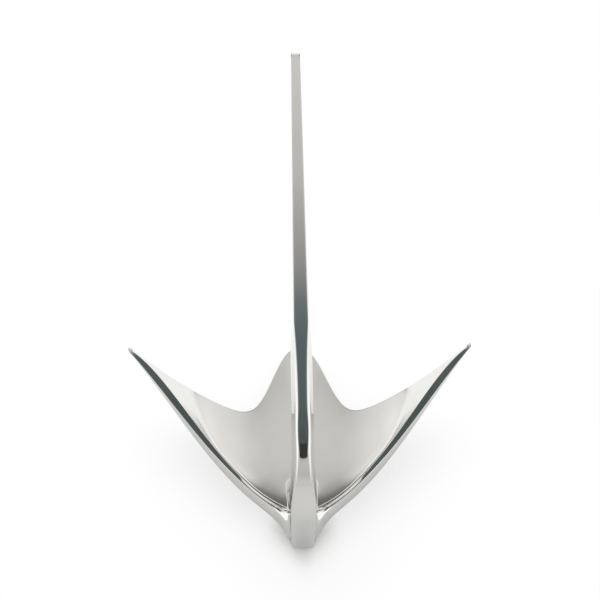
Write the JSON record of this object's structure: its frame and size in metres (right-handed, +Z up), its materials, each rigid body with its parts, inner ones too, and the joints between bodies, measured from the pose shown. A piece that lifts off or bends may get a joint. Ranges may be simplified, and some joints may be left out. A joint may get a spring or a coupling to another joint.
{
  "type": "claw anchor",
  "caption": "One-piece polished stainless claw anchor: a curved scoop with side tines and a blunt middle tine, and a bent shank with a shackle eye.",
  "frame": {"origin": "on the surface that the anchor stands on, under the centre of its box", "axes": "+Z up, +Y from the crown along the shank towards the shackle eye, +X across the tines, along the shackle eye's bore"},
  "size_m": [0.34, 0.5081, 0.2604],
  "materials": {
    "stainless": "polished"
  },
  "bodies": {
    "root": {"claw_anchor": "stainless"}
  },
  "joints": []
}
